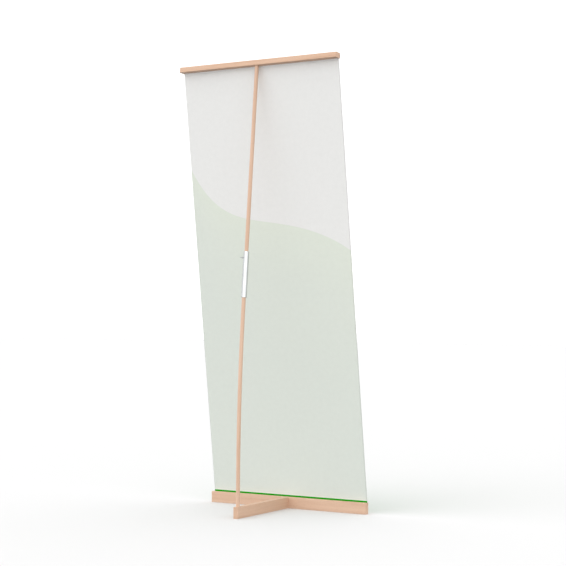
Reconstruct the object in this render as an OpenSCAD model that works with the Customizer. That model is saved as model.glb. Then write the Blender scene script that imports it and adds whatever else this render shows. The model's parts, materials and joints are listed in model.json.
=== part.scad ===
// Wooden banner stand: a T-shaped foot, a sprung pole joined by a clamping
// sleeve, a grooved top rail and a fabric banner held by a cord in each hem.
// The banner's printed face looks along -Y, and the leg and the pole are behind it.
// The origin is on the floor, in the middle of the footprint.

/* [Banner] */
// Width of the fabric
banner_w = 850; // [600:10:1000]
// Thickness of the fabric
cloth_t = 0.8; // [0.6:0.1:1]
// Diameter of the cord sewn into each hem
keder_d = 4.4; // [4:0.2:4.6]
// Height of the sewn hem above the foot bar and below the rail
hem_band = 8; // [5:1:12]
// How far the banner sits off centre in its grooves, towards -X
banner_slip = 2; // [0:0.5:4]

/* [Foot] */
// Thickness of the foot bar, front to back
bar_t = 27; // [26:1:32]
// Height of the foot bar and of the leg
bar_h = 52.5; // [50:0.5:60]
// Length of the leg behind the foot bar
leg_l = 432; // [400:4:480]
// Thickness of the leg
leg_t = 25; // [24:1:30]
// Rounding of the upright edges at the bars' ends
corner_r = 4; // [3:1:10]
// Rounding of the long edges of bars and rail
edge_r = 1.5; // [1:0.5:2]

/* [Pole] */
// Diameter of the wooden rods
pole_d = 18; // [16:0.5:18.5]
// Distance of the pole's foot from the leg's rear end
pole_inset = 21; // [20:1:30]
// Lean of the pole's straight upper part, in degrees
pole_tilt = 5.78; // [5.5:0.02:6]
// Depth of the pole's hole in the leg
foot_depth = 40; // [30:1:42]

/* [Sleeve] */
// Outer diameter of the aluminium sleeve
sleeve_d = 25; // [24:0.5:27]
// Length of the sleeve
sleeve_l = 211; // [200:1:240]
// Height of the sleeve's lower end above the floor
sleeve_z = 996; // [900:4:1100]
// Length of the lower rod inside the sleeve
lower_grip = 70; // [50:1:75]
// Free length between the two rods inside the sleeve
slide_room = 80; // [40:1:85]

/* [Rail] */
// Height of the rail's underside above the floor, at the pole
rail_z = 2067; // [1900:1:2100]
// Height of the rail
rail_h = 24; // [22:0.5:26]
// Thickness of the rail, front to back
rail_t = 36; // [32:1:38]
// Depth of the pole's hole in the rail
rail_grip = 14; // [10:1:15]

/* [Clamp screw] */
// Diameter of the screw's thread
screw_d = 6; // [5:1:6]
// Distance of the screw below the sleeve's top
screw_drop = 28; // [20:1:40]
// Span of the two wings
wing_span = 24; // [20:1:30]

/* [Hidden] */
$fn = 64;
over = 1;                    // how far a cutter runs past the face it opens
fit_gap = 0.1;               // play between two parts that touch but don't grip

// Lengths and places of the bars
side_margin = 5;             // half of what the bars are longer than the fabric is wide
bar_l = banner_w + 2 * side_margin;
front_y = -(bar_t + leg_l) / 2;
bar_rear_y = front_y + bar_t;
leg_rear_y = bar_rear_y + leg_l;
pole_y = leg_rear_y - pole_inset;
rail_back = 14.5;            // the rail stands this far behind the pole's axis
rail_front = rail_t - rail_back;
rail_corner_r = 3;

// The keyhole groove that holds a hem
groove_inset = 6;            // from the front face to the groove's middle
groove_depth = 10;           // from the face to the middle of the round pocket
neck_w = 4.5;
pocket_d = 7;

// The pole: upright in the leg, then an arc, then straight
run_gap = 0.08;              // radial play of a rod in the sleeve and the rail
bow_r = (sleeve_z - bar_h) / sin(pole_tilt);
sleeve_y = pole_y - bow_r * (1 - cos(pole_tilt));
rail_s = (rail_z - sleeve_z) / cos(pole_tilt);
upper_s = lower_grip + slide_room;
rod_chamfer = 1;
tube_chamfer = 0.6;
stub_d = pole_d - 0.2;       // the lower rod is sanded down where the sleeve goes on
stub_root = 5;               // how far that stub's solid starts inside the arc

// The clamp screw, with X measured from the pole's axis
screw_s = sleeve_l - screw_drop;
pad_x = pole_d / 2 + fit_gap;
pad_t = 2.2;
pad_d = screw_d - 0.6;       // slim enough to pass through the thread
tip_d = 2.5;
tip_l = 1.2;
tip_root = 0.2;              // how far the tip's solid runs into the shank
boss_x = sleeve_d / 2 + 3.5;
boss_d = 7.5;
boss_l = 4;
wing_l = 17.5;               // reach of the wings past the sleeve
wing_t = 2;
wing_root = 1;               // from the boss's inner end to the wings
ear_r = 5;

// The pin through the sleeve and the lower rod
pin_d = 4;
pin_sink = 0.4;              // below the sleeve's surface, at each end
pin_s = lower_grip / 2;

// The joint between the leg and the foot bar
joint_z = bar_h / 2;
bolt_d = 6;
bolt_l = 60;
bolt_head_d = 12;
bolt_head_h = 5;
bolt_hex = 4;
bolt_hex_depth = 3;
head_sink = 0.5;             // from the bar's face down to the head
bolt_play = 0.5;             // the bar's holes are this much wider than the bolt
leg_bore_play = 1;
leg_bore_room = 3;           // the leg's bore runs this far past the nut
nut_d = 10;
nut_l = 20;
nut_y = 34;                  // from the leg's front end
dowel_d = 8;
dowel_in_bar = 14;
dowel_in_leg = 24;
dowel_rise = 15;             // above and below the bolt

// The banner's plane runs between the mouths of the two grooves
hem_r = keder_d / 2 + cloth_t;
low_y = front_y + groove_inset;
rail_y = sleeve_y - rail_s * sin(pole_tilt);
groove_v = -rail_front + groove_inset;
high_y = rail_y + groove_v * cos(pole_tilt);
high_z = rail_z + groove_v * sin(pole_tilt);
lean = atan2(high_y - low_y, high_z - bar_h);
banner_s = norm([high_y - low_y, high_z - bar_h]);
strip_l = 110;               // the fabric that folds when the rail comes down
strip_s = banner_s - hem_band - strip_l;
hem_gap = 0.02;              // from the strip to the rail's hem, which moves with the rail
keder_l = banner_w - 4;

// ---- Shapes that repeat ----

module rounded_rect(w, h, r) {
    square([w - 2 * r, h], center = true);
    square([w, h - 2 * r], center = true);
    for (x = [-1, 1], y = [-1, 1])
        translate([x * (w / 2 - r), y * (h / 2 - r)]) circle(r);
}

// A YZ outline drawn out along X
module along_x(length) {
    rotate([90, 0, 90]) linear_extrude(length, center = true) children();
}

// A cylinder along +X from x
module rod_x(x, d, length) {
    translate([x, 0, 0]) rotate([0, 90, 0]) cylinder(d = d, h = length);
}

// A cylinder along +Y from y
module rod_y(y, d, length) {
    translate([0, y, 0]) rotate([-90, 0, 0]) cylinder(d = d, h = length);
}

// The outline of a groove: a round pocket at the origin and a neck that opens upward
module keyhole() {
    translate([-neck_w / 2, 0]) square([neck_w, groove_depth + over]);
    circle(d = pocket_d);
}

// The frame of the straight pole, at a distance s from the sleeve's lower end
module on_pole(s = 0) {
    translate([0, sleeve_y, sleeve_z]) rotate([pole_tilt, 0, 0])
        translate([0, 0, s]) children();
}

// The frame of each groove: the origin in the middle of its pocket, +Z out of its mouth
module in_low_groove() {
    translate([0, low_y, bar_h - groove_depth]) children();
}

module in_high_groove() {
    on_pole(rail_s) translate([0, groove_v, groove_depth]) mirror([0, 0, 1]) children();
}

// A rod with small chamfers at the ends that are asked for
module turned_rod(d, length, low = true, high = true, c = rod_chamfer) {
    z0 = low ? c : 0;
    z1 = high ? length - c : length;
    translate([0, 0, z0]) cylinder(d = d, h = z1 - z0);
    if (low) cylinder(d1 = d - 2 * c, d2 = d, h = c);
    if (high) translate([0, 0, z1]) cylinder(d1 = d, d2 = d - 2 * c, h = c);
}

// A YZ outline drawn out along X, across the banner
module across_banner(length) {
    translate([-banner_slip, 0, 0]) along_x(length) children();
}

// A hem in its groove: a loop round the cord, the doubled fabric in the neck,
// and the sewn band outside, which turns by the given angle into the banner's plane
module hem(bend) {
    across_banner(banner_w) difference() {
        union() {
            circle(hem_r);
            translate([-cloth_t, 0]) square([2 * cloth_t, groove_depth]);
            translate([0, groove_depth]) rotate(bend) translate([-cloth_t, -cloth_t])
                square([2 * cloth_t, hem_band + cloth_t]);
        }
        circle(d = keder_d);
    }
}

// A stretch of the single front layer, from one distance up the banner to another
module fabric(from_s, to_s) {
    translate([0, low_y, bar_h]) rotate([-lean, 0, 0]) across_banner(banner_w)
        translate([-cloth_t, from_s]) square([cloth_t, to_s - from_s]);
}

// The dowels' and bolt's places, as seen from the joint's face
module at_dowels() {
    for (side = [-1, 1])
        translate([0, bar_rear_y, joint_z + side * dowel_rise]) children();
}

module at_bolt() {
    translate([0, front_y, joint_z]) children();
}

// ---- Foot ----

module base_bar() {
    color("burlywood") difference() {
        intersection() {
            translate([0, front_y + bar_t / 2, 0]) linear_extrude(bar_h)
                rounded_rect(bar_l, bar_t, corner_r);
            translate([0, front_y + bar_t / 2, bar_h / 2]) along_x(bar_l + 2 * over)
                rounded_rect(bar_t, bar_h, edge_r);
        }
        in_low_groove() along_x(bar_l + 2 * over) keyhole();
        at_bolt() {
            rod_y(-over, bolt_head_d + bolt_play, over + head_sink + bolt_head_h);
            rod_y(0, bolt_d + bolt_play, bar_t + over);
        }
        at_dowels() rod_y(-dowel_in_bar, dowel_d, dowel_in_bar + over);
    }
}

module leg_bar() {
    color("burlywood") difference() {
        intersection() {
            translate([0, bar_rear_y, 0]) linear_extrude(bar_h) union() {
                translate([-leg_t / 2, 0]) square([leg_t, leg_l - corner_r]);
                translate([0, leg_l / 2]) rounded_rect(leg_t, leg_l, corner_r);
            }
            translate([0, leg_rear_y + over, bar_h / 2]) rotate([90, 0, 0])
                linear_extrude(leg_l + 2 * over) rounded_rect(leg_t, bar_h, edge_r);
        }
        translate([0, pole_y, bar_h - foot_depth])
            cylinder(d = pole_d + 2 * run_gap, h = foot_depth + over);
        translate([0, bar_rear_y + nut_y, -over])
            cylinder(d = nut_d, h = joint_z + nut_l / 2 + over);
        at_bolt() rod_y(bar_t - over, bolt_d + leg_bore_play,
                        over + nut_y + nut_d / 2 + leg_bore_room);
        at_dowels() rod_y(-over, dowel_d, dowel_in_leg + over);
    }
}

module leg_bolt() {
    color("silver") at_bolt() difference() {
        union() {
            rod_y(head_sink, bolt_head_d, bolt_head_h);
            rod_y(bolt_head_h, bolt_d, bolt_l);
        }
        translate([0, head_sink - over, 0]) rotate([-90, 0, 0])
            cylinder(d = bolt_hex / cos(30), h = over + bolt_hex_depth, $fn = 6);
    }
}

module barrel_nut() {
    color("silver") difference() {
        translate([0, bar_rear_y + nut_y, joint_z - nut_l / 2]) cylinder(d = nut_d, h = nut_l);
        at_bolt() rod_y(bar_t, bolt_d + fit_gap, nut_y + nut_d);
    }
}

module locating_dowels() {
    color("wheat") at_dowels() rod_y(-dowel_in_bar, dowel_d, dowel_in_bar + dowel_in_leg);
}

// ---- Pole ----

module lower_pole() {
    color("burlywood") difference() {
        union() {
            translate([0, pole_y, bar_h - foot_depth])
                turned_rod(pole_d, foot_depth, high = false);
            translate([0, pole_y - bow_r, bar_h]) rotate([90, 0, 90])
                rotate_extrude(angle = pole_tilt, $fn = 1440)
                    translate([bow_r, 0]) circle(d = pole_d, $fn = 64);
            on_pole(-stub_root) turned_rod(stub_d, lower_grip + stub_root, low = false);
        }
        on_pole(pin_s) rod_x(-pole_d, pin_d, 2 * pole_d);
    }
}

module sleeve() {
    color("gainsboro") on_pole() difference() {
        turned_rod(sleeve_d, sleeve_l, c = tube_chamfer);
        translate([0, 0, -over]) cylinder(d = pole_d + 2 * run_gap, h = sleeve_l + 2 * over);
        translate([0, 0, pin_s]) rod_x(-sleeve_d, pin_d, 2 * sleeve_d);
        translate([0, 0, screw_s]) rod_x(0, screw_d + fit_gap, sleeve_d);
    }
}

module sleeve_pin() {
    pin_l = sleeve_d - 2 * pin_sink;
    color("silver") on_pole(pin_s) rod_x(-pin_l / 2, pin_d, pin_l);
}

module pressure_pad() {
    color("whitesmoke") on_pole(screw_s) difference() {
        rod_x(pad_x, pad_d, pad_t);
        rod_x(pad_x + pad_t - tip_l, tip_d + fit_gap, tip_l + over);
    }
}

module wing_screw() {
    pad_end = pad_x + pad_t;
    reach = sleeve_d / 2 + wing_l;
    ear_y = wing_span / 2 - ear_r;
    color("silver") on_pole(screw_s) {
        rod_x(pad_end - tip_l + fit_gap, tip_d, tip_l + tip_root);
        rod_x(pad_end + fit_gap, screw_d, boss_x - pad_end);
        rod_x(boss_x, boss_d, boss_l);
        translate([0, 0, -wing_t / 2]) linear_extrude(wing_t) for (side = [-1, 1]) {
            translate([reach - ear_r, side * ear_y]) circle(ear_r);
            polygon([[boss_x + wing_root, 0], [boss_x + wing_root, side * boss_d / 2],
                     [reach - ear_r, side * (ear_y + ear_r)],
                     [reach, side * ear_y], [boss_x + boss_l, 0]]);
        }
    }
}

module upper_pole() {
    color("burlywood") on_pole(upper_s) turned_rod(pole_d, rail_s - upper_s + rail_grip);
}

// ---- Rail ----

module top_rail() {
    middle = (rail_back - rail_front) / 2;
    color("burlywood") difference() {
        on_pole(rail_s) intersection() {
            translate([0, middle, rail_h / 2]) along_x(bar_l + 2 * over)
                rounded_rect(rail_t, rail_h, edge_r);
            translate([0, middle, 0]) linear_extrude(rail_h)
                rounded_rect(bar_l, rail_t, rail_corner_r);
        }
        on_pole(rail_s - over) cylinder(d = pole_d + 2 * run_gap, h = rail_grip + over);
        in_high_groove() along_x(bar_l + 2 * over) keyhole();
    }
}

// ---- Banner ----

module bottom_keder() {
    color("white") in_low_groove() across_banner(keder_l) circle(d = keder_d);
}

module bottom_hem() {
    color("limegreen") in_low_groove() hem(-lean);
}

module banner_panel() {
    color("honeydew") fabric(hem_band, strip_s);
}

module banner_top_strip() {
    color("whitesmoke") fabric(strip_s, banner_s - hem_band - hem_gap);
}

module top_hem() {
    color("whitesmoke") in_high_groove() hem(lean + pole_tilt);
}

module top_keder() {
    color("white") in_high_groove() across_banner(keder_l) circle(d = keder_d);
}

base_bar();
leg_bar();
leg_bolt();
barrel_nut();
locating_dowels();
lower_pole();
sleeve();
sleeve_pin();
pressure_pad();
wing_screw();
upper_pole();
top_rail();
bottom_keder();
bottom_hem();
banner_panel();
banner_top_strip();
top_hem();
top_keder();
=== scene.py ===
"""Looks of the wooden banner stand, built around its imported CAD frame.

Everything is in metres, in the frame's own axes: the printed face looks along -Y,
the leg and the pole are behind it, and the floor is z = 0.
"""

import json
import math

import bmesh
import bpy
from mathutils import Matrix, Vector, noise


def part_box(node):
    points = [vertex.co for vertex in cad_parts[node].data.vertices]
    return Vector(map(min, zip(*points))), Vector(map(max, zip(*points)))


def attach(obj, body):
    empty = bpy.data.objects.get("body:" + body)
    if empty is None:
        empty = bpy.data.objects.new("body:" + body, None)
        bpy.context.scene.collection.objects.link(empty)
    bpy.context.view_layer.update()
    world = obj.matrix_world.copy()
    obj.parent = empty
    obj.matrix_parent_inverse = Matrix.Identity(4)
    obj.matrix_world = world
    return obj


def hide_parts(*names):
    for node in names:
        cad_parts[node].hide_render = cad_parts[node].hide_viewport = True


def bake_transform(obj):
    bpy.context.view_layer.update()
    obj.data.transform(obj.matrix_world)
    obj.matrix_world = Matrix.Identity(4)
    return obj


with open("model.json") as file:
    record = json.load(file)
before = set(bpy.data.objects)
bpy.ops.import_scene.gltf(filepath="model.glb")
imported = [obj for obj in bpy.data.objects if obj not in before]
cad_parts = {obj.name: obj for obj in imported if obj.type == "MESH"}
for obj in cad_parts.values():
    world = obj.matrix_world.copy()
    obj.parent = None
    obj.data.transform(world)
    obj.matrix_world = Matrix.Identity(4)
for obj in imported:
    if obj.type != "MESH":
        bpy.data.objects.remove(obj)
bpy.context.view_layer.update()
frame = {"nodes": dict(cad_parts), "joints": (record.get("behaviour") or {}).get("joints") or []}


# ---- Places taken from the frame ----

def middle(node):
    low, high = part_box(node)
    return (low + high) / 2


def size(node):
    low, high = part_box(node)
    return high - low


POLE_AXIS = Vector(
    next(j["axis"] for j in frame["joints"] if j["name"] == "pole_slide")
).normalized()
REAR = Vector((0, 1, 0))
UP = Vector((0, 0, 1))
SIDE = Vector((1, 0, 0))
POLE_REAR = SIDE.cross(POLE_AXIS) * -1       # square to the pole, to its rear

BAR_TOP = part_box("base_bar")[1].z
BANNER_W = size("banner_panel").x
LOW_KEDER = middle("bottom_keder")           # the keders' and mouths' X is the banner's
HIGH_KEDER = middle("top_keder")
KEDER_R = size("bottom_keder").y / 2
GROOVE = BAR_TOP - LOW_KEDER.z               # from a keder's middle to its groove's mouth
LOW_MOUTH = LOW_KEDER + GROOVE * UP
HIGH_MOUTH = HIGH_KEDER - GROOVE * POLE_AXIS
BANNER_UP = (HIGH_MOUTH - LOW_MOUTH).normalized()
BANNER_REAR = Vector((0, BANNER_UP.z, -BANNER_UP.y))
BANNER_L = (HIGH_MOUTH - LOW_MOUTH).length

# ---- Camera ----

CAMERA_AT = Vector((-3.7796, 5.8728, 0.9545))
CAMERA_TURN = math.radians(212.005)          # about +Z, from looking along +Y
CAMERA_PITCH = math.radians(0.898)
CAMERA_LENS = 95.83
CAMERA_SENSOR = 36


def make_camera():
    data = bpy.data.cameras.new("camera")
    data.lens = CAMERA_LENS
    data.sensor_width = CAMERA_SENSOR
    camera = bpy.data.objects.new("camera", data)
    camera.location = CAMERA_AT
    camera.rotation_euler = (math.pi / 2 + CAMERA_PITCH, 0, CAMERA_TURN)
    bpy.context.scene.collection.objects.link(camera)
    bpy.context.scene.camera = camera


make_camera()


# ---- Shader helpers ----

def srgb(red, green, blue):
    """A colour given as 0 to 255 display values, as the linear colour a shader takes."""
    def linear(value):
        share = value / 255
        return share / 12.92 if share <= 0.04045 else ((share + 0.055) / 1.055) ** 2.4
    return (linear(red), linear(green), linear(blue), 1)


class Shader:
    """A material with a Principled shader, and short calls that add nodes to it."""

    def __init__(self, name, **constants):
        self.material = bpy.data.materials.new(name)
        self.material.use_nodes = True
        self.tree = self.material.node_tree
        self.surface = self.tree.nodes["Principled BSDF"]
        for socket, value in constants.items():
            self.surface.inputs[socket.replace("_", " ")].default_value = value

    def add(self, kind, inputs=(), out=0, **settings):
        """Adds a node and returns one of its outputs. inputs gives a value or an
        output for each socket, by its name or its number."""
        made = self.tree.nodes.new("ShaderNode" + kind)
        for key, value in settings.items():
            setattr(made, key, value)
        for key, value in dict(inputs).items():
            self.plug(value, made.inputs[key])
        return made.outputs[out]

    def plug(self, value, socket):
        if isinstance(value, bpy.types.NodeSocket):
            self.tree.links.new(value, socket)
        else:
            socket.default_value = value

    def math(self, operation, *values):
        return self.add("Math", enumerate(values), operation=operation)

    def mix(self, share, first, second):
        return self.add("Mix", {0: share, 6: first, 7: second}, out=2, data_type="RGBA")

    def rescale(self, value, from_low, from_high, to_low=0.0, to_high=1.0):
        return self.add("MapRange",
                        {0: value, 1: from_low, 2: from_high, 3: to_low, 4: to_high})

    def noise(self, vector, scale, detail=2.0, roughness=0.5, distortion=0.0):
        return self.add(
            "TexNoise",
            {"Vector": vector, "Scale": scale, "Detail": detail,
             "Roughness": roughness, "Distortion": distortion},
        )

    def place(self):
        return self.add("TexCoord", out=3)

    def along(self, axis):
        """The place, turned so that Z runs along an axis of the frame."""
        turn = axis.to_track_quat("Z", "Y").inverted().to_euler()
        return self.add("Mapping", {"Vector": self.place(), "Rotation": turn})

    def stretched(self, vector, scales):
        return self.add("Mapping", {"Vector": vector, "Scale": scales})

    def ramp(self, share, stops):
        made = self.tree.nodes.new("ShaderNodeValToRGB")
        elements = made.color_ramp.elements
        elements[0].position, elements[0].color = stops[0]
        elements[1].position, elements[1].color = stops[-1]
        for position, colour in stops[1:-1]:
            elements.new(position).color = colour
        self.plug(share, made.inputs[0])
        return made.outputs[0]

    def finish(self, colour=None, roughness=None, bump=None, bump_height=0.0):
        if colour is not None:
            self.plug(colour, self.surface.inputs["Base Color"])
        if roughness is not None:
            self.plug(roughness, self.surface.inputs["Roughness"])
        if bump is not None:
            normal = self.add("Bump", {"Height": bump, "Distance": bump_height})
            self.plug(normal, self.surface.inputs["Normal"])
        return self.material


# ---- Wood ----

BEECH_LIGHT = srgb(228, 194, 168)
BEECH_MID = srgb(220, 183, 156)
BEECH_DARK = srgb(203, 163, 134)
BEECH_FLECK = srgb(176, 132, 102)
BEECH_END = srgb(212, 173, 144)


def beech(name, grain, varnish):
    """Steamed beech with its grain along one direction: long soft streaks, faint
    growth rings and the short dark flecks of its rays; darker on the end grain."""
    shader = Shader(name, Coat_Weight=varnish, Coat_Roughness=0.35,
                    Specular_IOR_Level=0.35)
    local = shader.along(grain)

    streaks = shader.noise(shader.stretched(local, (60, 60, 2.2)), 1, 4, 0.6, 0.3)
    broad = shader.noise(shader.stretched(local, (22, 22, 0.7)), 1, 2)
    rings = shader.add(
        "TexWave",
        {"Vector": shader.stretched(local, (1, 1, 0.03)), "Scale": 38, "Distortion": 5,
         "Detail": 2, "Detail Scale": 1.2},
        out=1, wave_type="RINGS", rings_direction="Z",
    )
    flecks = shader.noise(shader.stretched(local, (900, 900, 130)), 1, 1)
    fleck_share = shader.rescale(flecks, 0.66, 0.74, 0, 0.55)

    tone = shader.math("ADD", shader.math("MULTIPLY", streaks, 0.55),
                       shader.math("MULTIPLY", broad, 0.45))
    colour = shader.ramp(tone, [(0.3, BEECH_DARK), (0.5, BEECH_MID), (0.68, BEECH_LIGHT)])
    colour = shader.mix(shader.math("MULTIPLY", rings, 0.12), colour, BEECH_DARK)
    colour = shader.mix(fleck_share, colour, BEECH_FLECK)

    facing = shader.add("VectorMath", {0: shader.add("TexCoord", out=1), 1: grain}, out=1,
                        operation="DOT_PRODUCT")
    end = shader.rescale(shader.math("ABSOLUTE", facing), 0.8, 0.98, 0, 0.5)
    colour = shader.mix(end, colour, BEECH_END)

    grain_bump = shader.math("SUBTRACT", streaks, shader.math("MULTIPLY", fleck_share, 0.5))
    roughness = shader.rescale(streaks, 0.3, 0.7, 0.42, 0.56)
    return shader.finish(colour, roughness, grain_bump, 0.0002)


# ---- Fabric ----

PRINT_WHITE = srgb(241, 241, 240)
BACK_WHITE = srgb(238, 238, 236)
GREEN_CREST = srgb(141, 203, 66)
GREEN_MIDDLE = srgb(98, 176, 58)
GREEN_FOOT = srgb(24, 156, 0)
PAINTED_SHOW_THROUGH = 0.137                                # how much of the print shows on the back: painted light passing through the cloth
GREEN_FADE = 0.62                            # from the crest down to the deepest green
FADE_LEAN = -0.15                            # what the +X edge adds to that length
PRINT_EDGE = 0.0006                          # half the width over which the ink fades in
WEAVE_PITCH = 0.0006
WAVE_BAND = 0.314                            # a wave texture's band, at a scale of 1
# The crest's height above the foot bar, by powers of the place across, from -1 to 1
CREST = (1.306, 0.061, -0.008, 0.107, 0.07, 0.035)


def cloth_place(shader):
    """The place on the flat cloth: across from the middle, and up from the foot bar."""
    at = shader.add("Attribute", out=1, attribute_name="cloth_at")
    parts = shader.tree.nodes.new("ShaderNodeSeparateXYZ")
    shader.plug(at, parts.inputs[0])
    return at, parts.outputs[0], parts.outputs[1]


def printed_colour(shader, across, up):
    """A green field under one slow wave, on white. The green deepens downward."""
    place = shader.math("DIVIDE", across, BANNER_W / 2)
    crest = CREST[-1]
    for factor in reversed(CREST[:-1]):
        crest = shader.math("MULTIPLY_ADD", crest, place, factor)
    depth = shader.math("SUBTRACT", crest, up)
    inked = shader.rescale(depth, -PRINT_EDGE, PRINT_EDGE)
    fade = shader.math("MULTIPLY_ADD", place, FADE_LEAN, GREEN_FADE)
    green = shader.ramp(shader.math("DIVIDE", depth, fade),
                        [(0, GREEN_CREST), (0.4, GREEN_MIDDLE), (1, GREEN_FOOT)])
    return shader.mix(inked, PRINT_WHITE, green)


def fabric(name, seen_from_back):
    shader = Shader(name, Roughness=0.9, Sheen_Weight=0.02, Sheen_Roughness=0.6,
                    Specular_IOR_Level=0.05)
    at, across, up = cloth_place(shader)
    colour = printed_colour(shader, across, up)
    if seen_from_back:
        # painted light: the print seen through the thin cloth is mixed into the back's colour
        colour = shader.mix(PAINTED_SHOW_THROUGH, BACK_WHITE, colour)

    def threads(direction):
        return shader.add("TexWave", {"Vector": at, "Scale": WAVE_BAND / WEAVE_PITCH / 2},
                          out=1, bands_direction=direction)

    weave = shader.math("MAXIMUM", threads("X"), threads("Y"))
    slubs = shader.noise(shader.stretched(at, (900, 60, 1)), 1, 2)
    cloudy = shader.noise(at, 45, 3, 0.6)
    shade = shader.math("ADD", shader.rescale(cloudy, 0.3, 0.7, -0.012, 0.012),
                        shader.rescale(weave, 0, 1, 0.985, 1.0))
    colour = shader.add("Mix", {0: 1.0, 6: colour, 7: shade}, out=2,
                        data_type="RGBA", blend_type="MULTIPLY")
    bump = shader.math("ADD", weave, shader.math("MULTIPLY", slubs, 0.6))
    return shader.finish(colour, None, bump, 0.00008)


def sewing_thread(name, tone):
    """Spun polyester: a twisted thread, slightly uneven in tone."""
    shader = Shader(name, Roughness=0.8, Sheen_Weight=0.1)
    at = shader.place()
    twist = shader.noise(shader.stretched(at, (5000, 2500, 2500)), 1, 1)
    darker = tuple(channel * 0.8 for channel in tone[:3]) + (1,)
    colour = shader.ramp(twist, [(0.35, darker), (0.6, tone)])
    return shader.finish(colour, None, twist, 0.00002)


# ---- Metal and plastic ----

def brushed_aluminium(name, axis):
    """Anodised tube: fine lines round it from turning, and a few faint marks along it."""
    shader = Shader(name, Metallic=1.0, Specular_Tint=srgb(196, 197, 198))
    local = shader.along(axis)
    lines = shader.noise(shader.stretched(local, (6, 6, 2600)), 1, 3, 0.6)
    drawn = shader.noise(shader.stretched(local, (400, 400, 5)), 1, 2)
    tone = shader.math("ADD", shader.math("MULTIPLY", lines, 0.5),
                       shader.math("MULTIPLY", drawn, 0.5))
    colour = shader.ramp(tone, [(0.3, srgb(194, 196, 197)), (0.7, srgb(205, 207, 208))])
    roughness = shader.rescale(tone, 0.3, 0.7, 0.07, 0.14)
    return shader.finish(colour, roughness, lines, 0.000002)


def zinc_steel(name):
    """Bright zinc plate with its slight mottling."""
    shader = Shader(name, Metallic=1.0)
    at = shader.place()
    grains = shader.add("TexVoronoi", {"Vector": at, "Scale": 900}, feature="F1")
    cloudy = shader.noise(at, 260, 3)
    tone = shader.math("ADD", shader.math("MULTIPLY", grains, 0.35), cloudy)
    colour = shader.ramp(tone, [(0.3, srgb(160, 162, 163)), (0.9, srgb(192, 194, 195))])
    roughness = shader.rescale(cloudy, 0.3, 0.7, 0.3, 0.44)
    return shader.finish(colour, roughness, cloudy, 0.00004)


def moulded_nylon(name):
    shader = Shader(name, Subsurface_Weight=0.1, Subsurface_Scale=0.001)
    at = shader.place()
    cloudy = shader.noise(at, 300, 3)
    colour = shader.ramp(cloudy, [(0.3, srgb(226, 224, 215)), (0.7, srgb(238, 236, 229))])
    roughness = shader.rescale(cloudy, 0.3, 0.7, 0.4, 0.5)
    return shader.finish(colour, roughness, cloudy, 0.00003)


def keder_plastic(name):
    """The hem cord: a soft white profile with faint drawing lines along it."""
    shader = Shader(name, Roughness=0.45)
    at = shader.place()
    lines = shader.noise(shader.stretched(at, (4, 1500, 1500)), 1, 2)
    colour = shader.ramp(lines, [(0.3, srgb(228, 228, 226)), (0.7, srgb(240, 240, 238))])
    return shader.finish(colour, None, lines, 0.00003)


BEECH_X = beech("beech_along_x", SIDE, varnish=0.06)
BEECH_Y = beech("beech_along_y", REAR, varnish=0.12)
BEECH_POLE = beech("beech_along_pole", POLE_AXIS, varnish=0.5)
ALUMINIUM = brushed_aluminium("brushed_aluminium", POLE_AXIS)
ZINC = zinc_steel("zinc_steel")
NYLON = moulded_nylon("moulded_nylon")
KEDER = keder_plastic("keder_plastic")
THREAD = {"bottom_stitches": sewing_thread("green_thread", srgb(60, 160, 30)),
          "top_stitches": sewing_thread("white_thread", srgb(238, 238, 235))}
PRINT = fabric("banner_print", seen_from_back=False)
BACK = fabric("banner_back", seen_from_back=True)

CAD_LOOKS = {
    "base_bar": BEECH_X, "top_rail": BEECH_X, "leg_bar": BEECH_Y,
    "lower_pole": BEECH_POLE, "upper_pole": BEECH_POLE, "locating_dowels": BEECH_Y,
    "sleeve": ALUMINIUM, "leg_bolt": ZINC, "barrel_nut": ZINC, "sleeve_pin": ZINC,
    "wing_screw": ZINC, "pressure_pad": NYLON,
    "bottom_keder": KEDER, "top_keder": KEDER,
}
for node_name, look in CAD_LOOKS.items():
    materials = frame["nodes"][node_name].data.materials
    materials.clear()
    materials.append(look)


# ---- Meshes ----

def new_object(name, data):
    made = bpy.data.objects.new(name, data)
    bpy.context.scene.collection.objects.link(made)
    return made


def new_piece(name, bm, look):
    """A visible piece from finished faces, smooth-shaded."""
    for face in bm.faces:
        face.smooth = True
    mesh = bpy.data.meshes.new(name)
    bm.to_mesh(mesh)
    bm.free()
    mesh.materials.append(look)
    piece = new_object(name, mesh)
    return piece


def round_angles(count):
    return [2 * math.pi * i / count for i in range(count)]


def closed_loft(bm, rings):
    """A closed solid through rings of points, each ring with the same count."""
    loops = [[bm.verts.new(point) for point in ring] for ring in rings]
    count = len(loops[0])
    for a, b in zip(loops, loops[1:]):
        for i in range(count):
            j = (i + 1) % count
            bm.faces.new((a[i], a[j], b[j], b[i]))
    bm.faces.new(loops[0][::-1])
    bm.faces.new(loops[-1])


# ---- The banner ----

SHEET_T = 0.0004
LAYER_GAP = 0.0001                           # between the two layers of a hem
HEM_BAND = 0.008
STITCH_INSET = 0.002                         # below the hem's edge, and in from its ends
STITCH_PITCH = 0.0032
STITCH_L = 0.0027
THREAD_R = 0.00014
COLUMN_STEP = 0.01
ROW_STEP = 0.012
CORD_LEAVE = math.radians(60)                # where the cloth leaves the cord for the neck
LOOP_TURNS = 20                              # steps in the cloth's way round the cord
PUCKER = 0.0005                              # the puckers' height at a hem,
PUCKER_FADE = 0.045                          # and the length over which they fade
WAVINESS = 0.0011
CALM_END = 0.03                              # length over which a hem holds the cloth flat
PRINTED, PLAIN = 0, 1                        # the banner's material slots


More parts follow.
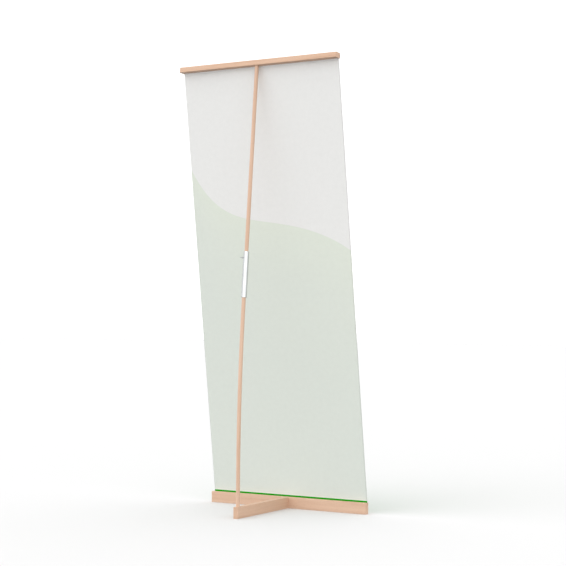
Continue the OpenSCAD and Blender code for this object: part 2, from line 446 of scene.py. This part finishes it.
def hem_outline(bend):
    """The way the cloth's middle takes in one groove, from its cut end behind the
    banner, round the cord, and up to the mouth. Points are (to the rear, out of the
    groove) from the cord's middle; bend is the angle at the mouth into the banner."""
    layer = (SHEET_T + LAYER_GAP) / 2
    loop_r = KEDER_R + SHEET_T * 0.6         # just clear of the cord
    neck = (loop_r * math.cos(CORD_LEAVE)
            + (loop_r * math.sin(CORD_LEAVE) - layer) * math.tan(CORD_LEAVE))
    flap = Vector((math.sin(bend), math.cos(bend)))
    mouth = Vector((layer, GROOVE))
    points = [mouth + flap * HEM_BAND * share for share in (1, 0.75, 0.5, 0.25)]
    points += [mouth, Vector((layer, (GROOVE + neck) / 2)), Vector((layer, neck))]
    for turn in range(LOOP_TURNS + 1):
        angle = CORD_LEAVE + (2 * math.pi - 2 * CORD_LEAVE) * turn / LOOP_TURNS
        points.append(loop_r * Vector((math.sin(angle), math.cos(angle))))
    points += [Vector((-layer, neck)), Vector((-layer, (GROOVE + neck) / 2)),
               Vector((-layer, GROOVE))]
    return points


def banner_way():
    """The cloth's middle in the YZ plane as (point, distance up from the foot bar),
    from one cut end to the other."""
    foot_bend = math.atan2(BANNER_UP.y, BANNER_UP.z)
    rail_bend = math.acos(BANNER_UP.dot(POLE_AXIS))
    front = -BANNER_REAR * (SHEET_T + LAYER_GAP) / 2

    foot = [LOW_KEDER + p.x * REAR + p.y * UP for p in hem_outline(foot_bend)]
    rail = [HIGH_KEDER + p.x * POLE_REAR - p.y * POLE_AXIS
            for p in reversed(hem_outline(-rail_bend))]
    rows = round(BANNER_L / ROW_STEP)
    plane = [LOW_MOUTH + front + BANNER_UP * BANNER_L * row / rows
             for row in range(1, rows)]
    points = foot + plane + rail
    up = [0.0]
    for a, b in zip(points, points[1:]):
        up.append(up[-1] + (b - a).length)
    start = up[len(foot) - 1]
    return [(p, u - start) for p, u in zip(points, up)], up[-1]


def tension(across, up):
    """How far the stretched cloth stands off its plane: small puckers at the hems that
    fade along the cloth, and a very slight, slow waviness."""
    def fade(distance):
        return math.exp(-max(distance, 0) / PUCKER_FADE)
    at_hem = fade(up - HEM_BAND) + fade(BANNER_L - HEM_BAND - up)
    puckers = PUCKER * noise.noise(Vector((across * 55, up * 6, 1))) * at_hem
    slow = WAVINESS * noise.noise(Vector((across * 3.5, up * 1.6, 5)))
    ends = min(max(up - HEM_BAND, 0), max(BANNER_L - HEM_BAND - up, 0))
    return (puckers + slow) * min(ends / CALM_END, 1)


def make_banner():
    """The whole sheet with its two faces and its rim, and its cut length."""
    way, cut_length = banner_way()
    columns = round(BANNER_W / COLUMN_STEP)
    bm = bmesh.new()
    at = bm.verts.layers.float_vector.new("cloth_at")
    sides = []
    for row, (point, up) in enumerate(way):
        before, after = way[max(row - 1, 0)][0], way[min(row + 1, len(way) - 1)][0]
        along = (after - before).normalized()
        outward = Vector((0, -along.z, along.y))    # the printed side
        pair = []
        for side in (1, -1):
            line = []
            for column in range(columns + 1):
                across = BANNER_W * (column / columns - 0.5)
                offset = side * SHEET_T / 2 * outward + tension(across, up) * BANNER_REAR
                vert = bm.verts.new(point + SIDE * across + offset)
                vert[at] = (across, up, 0)
                line.append(vert)
            pair.append(line)
        sides.append(pair)

    def face(points, slot, flip=False):
        bm.faces.new(points[::-1] if flip else points).material_index = slot

    for (front, back), (front_up, back_up) in zip(sides, sides[1:]):
        for c in range(columns):
            face((front[c], front[c + 1], front_up[c + 1], front_up[c]), PRINTED)
            face((back[c + 1], back[c], back_up[c], back_up[c + 1]), PLAIN)
        for c, flip in ((0, False), (columns, True)):
            face((back[c], front[c], front_up[c], back_up[c]), PLAIN, flip)
    for (front, back), flip in ((sides[0], False), (sides[-1], True)):
        for c in range(columns):
            face((front[c + 1], front[c], back[c], back[c + 1]), PLAIN, flip)
    bm.normal_update()
    banner = new_piece("banner", bm, PRINT)
    banner.data.materials.append(BACK)
    return banner, cut_length


def make_stitches(name, mouth, up):
    """Two rows of lock stitch, one on each side of a hem, near its upper or lower edge.
    Each stitch thins out and dips into the cloth at both its ends."""
    bm = bmesh.new()
    rings, facets = 6, 6
    rear = BANNER_REAR
    row_at = mouth + up * (HEM_BAND - STITCH_INSET)
    stitches = int((BANNER_W - 2 * STITCH_INSET) / STITCH_PITCH)
    for side in (1, -1):
        surface = row_at + rear * side * (SHEET_T + LAYER_GAP / 2)
        for stitch in range(stitches):
            first = (stitch - (stitches - 1) / 2) * STITCH_PITCH - STITCH_L / 2
            loops = []
            for ring in range(rings + 1):
                share = ring / rings
                lift = THREAD_R * (2.2 * math.sin(math.pi * share) - 1.1)
                centre = surface + SIDE * (first + STITCH_L * share) + rear * side * lift
                thick = THREAD_R * (0.6 + 0.4 * math.sin(math.pi * share))
                loops.append([centre + thick * (up * math.cos(a) + rear * math.sin(a))
                              for a in round_angles(facets)])
            closed_loft(bm, loops)
    bmesh.ops.recalc_face_normals(bm, faces=bm.faces)
    return new_piece(name, bm, THREAD[name])


banner, banner_cut = make_banner()
low_stitches = make_stitches("bottom_stitches", LOW_MOUTH, BANNER_UP)
high_stitches = make_stitches("top_stitches", HIGH_MOUTH, -BANNER_UP)
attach(low_stitches, "base")
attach(high_stitches, "upper")
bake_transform(banner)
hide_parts("banner_panel", "banner_top_strip", "bottom_hem", "top_hem")


# ---- The wing screw ----

SCREW_AT = Vector(next(j["pos_m"] for j in frame["joints"] if j["name"] == "screw_turn"))
SCREW_TIP, SCREW_REACH = (corner.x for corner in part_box("wing_screw"))
SCREW_R = 0.003
THREAD_PITCH = 0.001
THREAD_DEPTH = 0.00055
THREAD_RUNOUT = 0.0008                       # length over which the thread rises,
RUNOUT_DEPTH = 0.0004                        # and how far it starts below its full height
POINT_R = 0.00125                            # the plain point that carries the pad,
POINT_L = 0.0012                             # and its length
SHOULDER = 0.0001                            # length of the step from it to the thread
HUB_R = 0.0037
HUB_START = 0.016                            # from the pole's axis, along X
HUB_L = 0.0045
HUB_BEVEL = 0.0006
WELD = 0.0008                                # how far shank and wings run into the hub
WING_SPAN = 0.0238
WING_T = 0.0022
EAR_R = 0.005
EAR_FROM, EAR_SWEEP = 128, 170               # the ear's arc, in degrees
EAR_STEPS = 12
DIP_BOTTOM = 0.0002                          # from the hub's end to the dip between the
DIP_EDGE = 0.0036                            # wings, at the screw's axis and at its edge
CAST_GRAIN = 0.00022                         # size of the cast head's smallest shapes


def about_screw(x, radius, angle):
    """The point at a radius and an angle about the screw's axis."""
    return SIDE * x + radius * (POLE_REAR * math.cos(angle) + POLE_AXIS * math.sin(angle))


def turned(bm, profile, facets=48):
    """A solid of revolution about the screw's axis, from (place along X, radius)."""
    closed_loft(bm, [[about_screw(x, r, a) for a in round_angles(facets)]
                     for x, r in profile])


def wing_outline():
    """One wing's edge in its plane, as (along X, across)."""
    ear = (SCREW_REACH - EAR_R, WING_SPAN / 2 - EAR_R)
    points = [(HUB_START + WELD, 0), (HUB_START + 1.5 * WELD, HUB_R)]
    for step in range(EAR_STEPS + 1):
        angle = math.radians(EAR_FROM - EAR_SWEEP * step / EAR_STEPS)
        points.append((ear[0] + EAR_R * math.cos(angle), ear[1] + EAR_R * math.sin(angle)))
    hub_end = HUB_START + HUB_L
    points += [(hub_end + DIP_EDGE, HUB_R * 0.75), (hub_end + DIP_BOTTOM, 0)]
    return points


def screw_head():
    """The hub and its two wings, melted into one cast shape with soft edges."""
    bm = bmesh.new()
    turned(bm, [(HUB_START, HUB_R * 0.86), (HUB_START + HUB_BEVEL, HUB_R),
                (HUB_START + HUB_L * 0.6, HUB_R * 0.93), (HUB_START + HUB_L, HUB_R * 0.6)])
    outline = wing_outline()
    middle_x = sum(x for x, _ in outline) / len(outline)
    middle_y = sum(y for _, y in outline) / len(outline)

    def wing_point(x, y, height, share, side):
        """A point of the outline, drawn in towards its middle. The root, where y is 0,
        stays on the screw's axis, so that both wings meet there."""
        from_y = middle_y if y else 0
        return (SIDE * (middle_x + (x - middle_x) * share)
                + POLE_REAR * side * (from_y + (y - from_y) * share)
                + POLE_AXIS * WING_T * height)

    section = ((-0.5, 0.86), (-0.32, 0.96), (0, 1), (0.32, 0.96), (0.5, 0.86))
    for side in (1, -1):
        closed_loft(bm, [[wing_point(x, y, height, share, side) for x, y in outline]
                         for height, share in section])
    bmesh.ops.recalc_face_normals(bm, faces=bm.faces)
    rough = bpy.data.meshes.new("wing_screw_rough")
    bm.to_mesh(rough)
    bm.free()
    carrier = new_object("wing_screw_rough", rough)
    melt = carrier.modifiers.new("melt", "REMESH")
    melt.mode = "VOXEL"
    melt.voxel_size = CAST_GRAIN
    soft = carrier.modifiers.new("soft", "SMOOTH")
    soft.factor = 0.5
    soft.iterations = 4
    seen = carrier.evaluated_get(bpy.context.evaluated_depsgraph_get())
    head = bpy.data.meshes.new_from_object(seen)
    bpy.data.objects.remove(carrier)
    bpy.data.meshes.remove(rough)
    return head


def screw_shank(bm):
    """The rolled thread from the tip to the hub, as one closed solid."""
    facets, steps_per_turn = 36, 8
    start, end = SCREW_TIP + POINT_L, HUB_START + WELD
    steps = round((end - start) / (THREAD_PITCH / steps_per_turn))
    angles = round_angles(facets)

    def thread_radius(x, angle):
        """A flat crest and root with straight flanks between them."""
        turn = (x / THREAD_PITCH - angle / (2 * math.pi)) % 1
        crest = min(max(1.25 - 2.9 * abs(turn - 0.5), 0), 1)
        runout = min((x - start) / THREAD_RUNOUT, 1)
        return SCREW_R - THREAD_DEPTH * (1 - crest) - RUNOUT_DEPTH * (1 - runout)

    rings = [[about_screw(x, POINT_R, a) for a in angles]
             for x in (SCREW_TIP, start - SHOULDER)]
    for step in range(steps + 1):
        x = start + (end - start) * step / steps
        rings.append([about_screw(x, thread_radius(x, a), a) for a in angles])
    closed_loft(bm, rings)


def make_wing_screw():
    bm = bmesh.new()
    head = screw_head()
    bm.from_mesh(head)
    bpy.data.meshes.remove(head)
    screw_shank(bm)
    bmesh.ops.recalc_face_normals(bm, faces=bm.faces)
    screw = new_piece("wing_screw_cast", bm, ZINC)
    screw.location = UP * SCREW_AT.z + REAR * SCREW_AT.y
    return screw


wing_screw = make_wing_screw()
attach(wing_screw, "screw")
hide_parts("wing_screw")


# ---- Floor and light ----

FLOOR_SIZE = 60
FLOOR_TONE = srgb(223, 223, 223)
SKY_STRENGTH = 1.28
LOWER_SKY = 0.2                              # the share of that strength at the bottom
SKY_FADE = (-0.35, -0.2)                     # heights on the unit dome where it grows to 1
KEY_FROM = Vector((0.5, 0.64, 0.58))         # high, behind the banner and to its +X side
KEY_SPREAD = math.radians(62)
KEY_STRENGTH = 0.45
CARD_AT = Vector((-2.6, 5.3, 1.2))
CARD_SIZE = (10, 4)
CARD_GLOW = 1.1


def make_floor():
    mesh = bpy.data.meshes.new("floor")
    half = FLOOR_SIZE / 2
    mesh.from_pydata([(-half, -half, 0), (half, -half, 0), (half, half, 0), (-half, half, 0)],
                     [], [(0, 1, 2, 3)])
    white = Shader("floor_white", Base_Color=FLOOR_TONE, Roughness=0.9,
                   Specular_IOR_Level=0.0)
    mesh.materials.append(white.material)
    floor = new_object("floor", mesh)
    floor.visible_diffuse = False            # its glow would wash out the undersides


def make_sky():
    """An even white dome that dims well below the horizon, where the floor hides it."""
    world = bpy.data.worlds.new("studio")
    world.use_nodes = True
    nodes, links = world.node_tree.nodes, world.node_tree.links
    background = nodes["Background"]
    background.inputs["Strength"].default_value = SKY_STRENGTH
    at = nodes.new("ShaderNodeTexCoord")
    parts = nodes.new("ShaderNodeSeparateXYZ")
    ramp = nodes.new("ShaderNodeMapRange")
    links.new(at.outputs["Generated"], parts.inputs[0])
    links.new(parts.outputs[2], ramp.inputs[0])
    ramp.inputs[1].default_value, ramp.inputs[2].default_value = SKY_FADE
    ramp.inputs[3].default_value = LOWER_SKY
    links.new(ramp.outputs[0], background.inputs["Color"])
    bpy.context.scene.world = world


def make_key():
    """One very soft lamp, far away."""
    data = bpy.data.lights.new("key", "SUN")
    data.energy = KEY_STRENGTH
    data.angle = KEY_SPREAD
    lamp = new_object("key", data)
    lamp.rotation_euler = KEY_FROM.to_track_quat("Z", "Y").to_euler()
    lamp.visible_glossy = False


def make_card():
    """A broad panel on the camera's side of the stand, a little nearer than the camera.
    It shows only in what is glossy."""
    data = bpy.data.lights.new("card", "AREA")
    data.shape = "RECTANGLE"
    data.size, data.size_y = CARD_SIZE
    data.energy = CARD_GLOW * math.pi * CARD_SIZE[0] * CARD_SIZE[1]
    card = new_object("card", data)
    card.location = CARD_AT
    card.rotation_euler = (CARD_AT - UP * CARD_AT.z).to_track_quat("Z", "Y").to_euler()
    card.visible_camera = False
    card.visible_diffuse = False
    card.visible_shadow = False


make_floor()
make_sky()
make_key()
make_card()
bpy.context.scene.view_settings.view_transform = "Standard"
